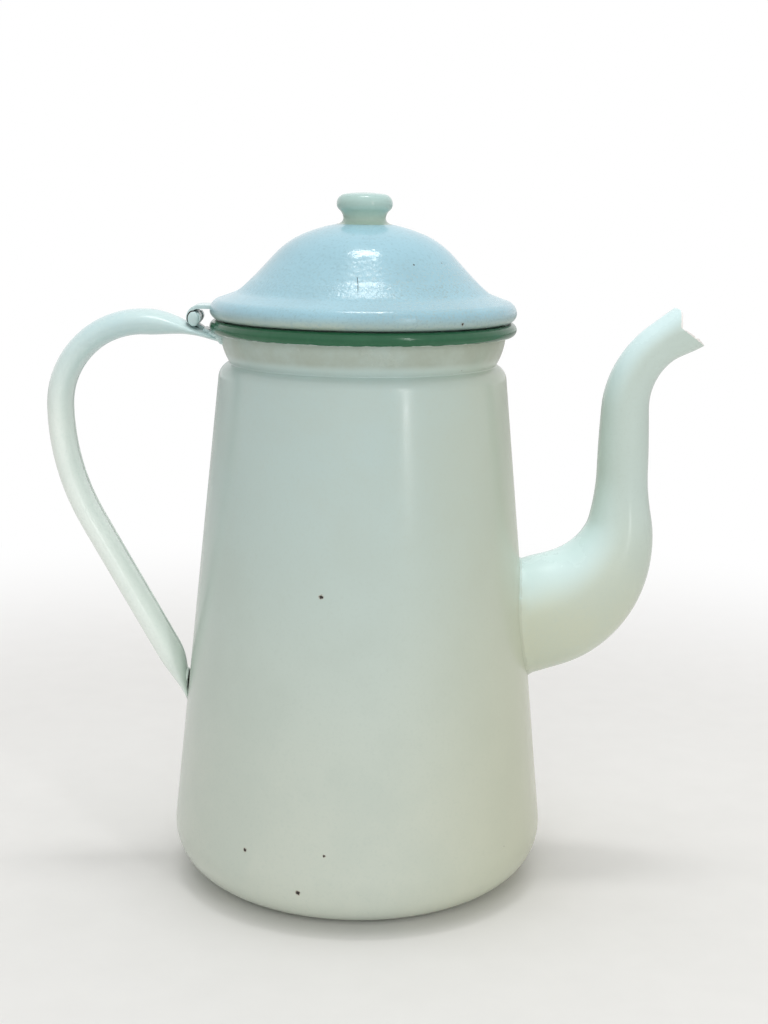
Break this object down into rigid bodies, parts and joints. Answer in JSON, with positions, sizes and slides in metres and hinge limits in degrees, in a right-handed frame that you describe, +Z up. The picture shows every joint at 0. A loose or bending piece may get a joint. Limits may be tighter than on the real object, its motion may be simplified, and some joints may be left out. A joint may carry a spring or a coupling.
{
  "type": "enamel coffee pot",
  "caption": "Tall tapering enamelled steel coffee pot with a swan-neck spout, a rolled strap handle and a domed lid with a knob on a rear hinge.",
  "frame": {"origin": "on the pot's axis, at the level of the flat ring that it stands on", "axes": "+Z up along the pot's axis, +X towards the spout, the handle at -X, the hinge pin along Y"},
  "size_m": [0.2414, 0.14, 0.2553],
  "materials": {
    "body_enamel": "glossy pale grey-green vitreous enamel, worn and lightly chipped",
    "lid_enamel": "glossy pale blue vitreous enamel with fine orange peel",
    "handle_enamel": "glossy off-white vitreous enamel",
    "knob_enamel": "glossy grey-green vitreous enamel",
    "bare_steel": "plain drawn wire, enclosed"
  },
  "bodies": {
    "pot": {"body_wall": "body_enamel", "base_pan": "body_enamel", "rim_wire": "bare_steel", "spout_right_half": "body_enamel", "spout_left_half": "body_enamel", "handle": "handle_enamel", "hinge_bracket": "body_enamel"},
    "lid": {"lid_dome": "lid_enamel", "lid_collar": "lid_enamel", "lid_knob": "knob_enamel", "hinge_leaf": "lid_enamel", "hinge_pin": "handle_enamel"}
  },
  "joints": [
    {"name": "lid_hinge", "type": "hinge", "parent": "pot", "child": "lid", "pos_m": [-0.0614, 0, 0.21006], "axis": [0, -1, 0], "range_deg": [0, 95]}
  ]
}
